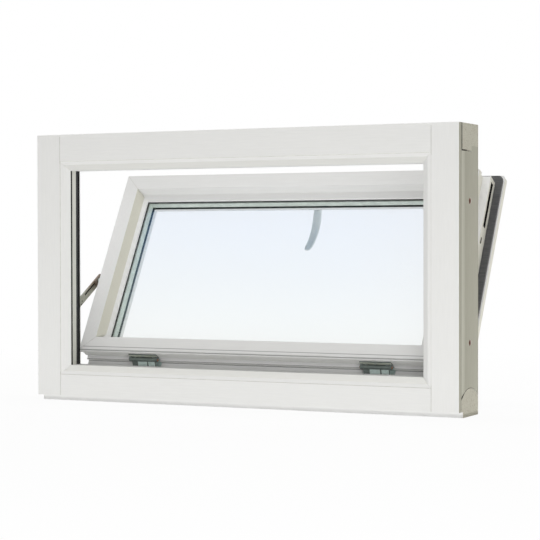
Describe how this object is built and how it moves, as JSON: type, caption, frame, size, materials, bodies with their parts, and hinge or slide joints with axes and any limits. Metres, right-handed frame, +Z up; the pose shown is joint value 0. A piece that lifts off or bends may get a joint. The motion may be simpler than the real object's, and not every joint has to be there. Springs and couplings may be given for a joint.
{
  "type": "bottom-hung window",
  "caption": "Painted timber window with a moulded frame and a glazed sash hung at its foot, drawn tilted inwards on link hinges and slotted stays.",
  "frame": {"origin": "middle of the frame's underside: half way along its width and half way through its depth", "axes": "+X to the right as seen from outdoors, +Y indoors, +Z up"},
  "size_m": [0.98, 0.4027, 0.58],
  "materials": {
    "painted_timber": "light grey factory paint, satin",
    "glass_pane": "clear float glass",
    "seal_black": "black extruded rubber",
    "seal_grey": "dark grey foam-filled seal",
    "spacer_bar": "mill finish",
    "zinc_steel": "zinc plated",
    "handle_metal": "grey lacquer, satin",
    "sleeve_plastic": "red-brown moulded plastic",
    "slider_plastic": "brown moulded plastic"
  },
  "bodies": {
    "root": {"bead_bottom": "painted_timber", "bead_left": "painted_timber", "bead_right": "painted_timber", "bead_top": "painted_timber", "fixing_sleeve_left_high": "sleeve_plastic", "fixing_sleeve_left_low": "sleeve_plastic", "fixing_sleeve_right_high": "sleeve_plastic", "fixing_sleeve_right_low": "sleeve_plastic", "frame_head": "painted_timber", "frame_jamb_left": "painted_timber", "frame_jamb_right": "painted_timber", "frame_seal_inner": "seal_black", "frame_seal_outer": "seal_black", "frame_sill": "painted_timber", "gasket_inner": "seal_black", "gasket_outer": "seal_black", "glass_inner": "glass_pane", "glass_outer": "glass_pane", "glass_spacer": "spacer_bar", "handle_lever": "handle_metal", "handle_rose": "handle_metal", "hinge_frame_leaf_left": "zinc_steel", "hinge_frame_leaf_right": "zinc_steel", "hinge_link_left": "zinc_steel", "hinge_link_right": "zinc_steel", "hinge_sash_leaf_left": "zinc_steel", "hinge_sash_leaf_right": "zinc_steel", "sash_rail_bottom": "painted_timber", "sash_rail_top": "painted_timber", "sash_ring_bottom": "painted_timber", "sash_ring_left": "painted_timber", "sash_ring_right": "painted_timber", "sash_ring_top": "painted_timber", "sash_seal": "seal_grey", "sash_stile_left": "painted_timber", "sash_stile_right": "painted_timber", "stay_arm_left": "zinc_steel", "stay_arm_right": "zinc_steel", "stay_bracket_left": "zinc_steel", "stay_bracket_right": "zinc_steel", "stay_plate_left": "zinc_steel", "stay_plate_right": "zinc_steel", "stay_slider_left": "slider_plastic", "stay_slider_right": "slider_plastic"}
  },
  "joints": []
}
